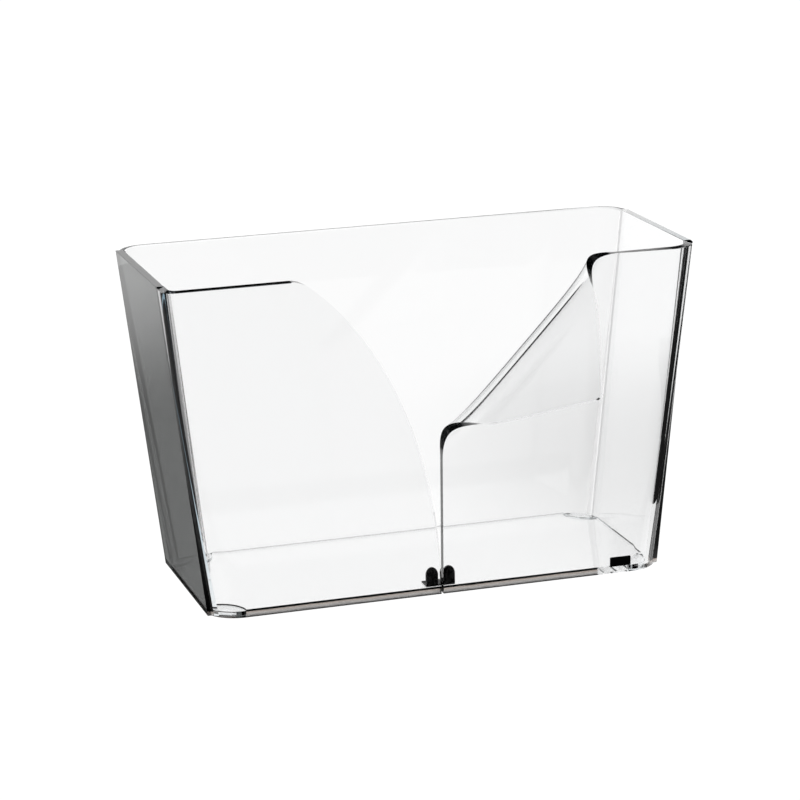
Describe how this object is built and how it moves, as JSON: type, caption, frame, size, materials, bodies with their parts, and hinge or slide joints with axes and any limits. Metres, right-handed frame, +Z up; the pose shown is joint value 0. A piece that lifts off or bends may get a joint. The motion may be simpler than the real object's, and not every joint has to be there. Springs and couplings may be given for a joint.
{
  "type": "magazine rack",
  "caption": "Free-standing clear acrylic magazine rack: a tapered open bin whose front is cut and rolled like the pages of an open magazine.",
  "frame": {"origin": "bottom centre of the bounding box, on the surface the feet stand on", "axes": "+X to the right seen from the front, +Z up, the two page-shaped front sheets face -Y"},
  "size_m": [0.42, 0.2074, 0.2576],
  "materials": {
    "clear_acrylic": "polished clear",
    "smoke_acrylic": "polished smoke",
    "black_plastic": "satin black",
    "foot_plastic": "clear satin"
  },
  "bodies": {
    "root": {"floor_plate": "clear_acrylic", "back_wall": "clear_acrylic", "left_end_wall": "smoke_acrylic", "right_end_wall": "clear_acrylic", "left_page": "clear_acrylic", "right_page": "clear_acrylic", "page_clip": "black_plastic", "label_plate": "black_plastic", "foot_front_left": "foot_plastic", "foot_front_right": "foot_plastic", "foot_back_left": "foot_plastic", "foot_back_right": "foot_plastic"}
  },
  "joints": []
}
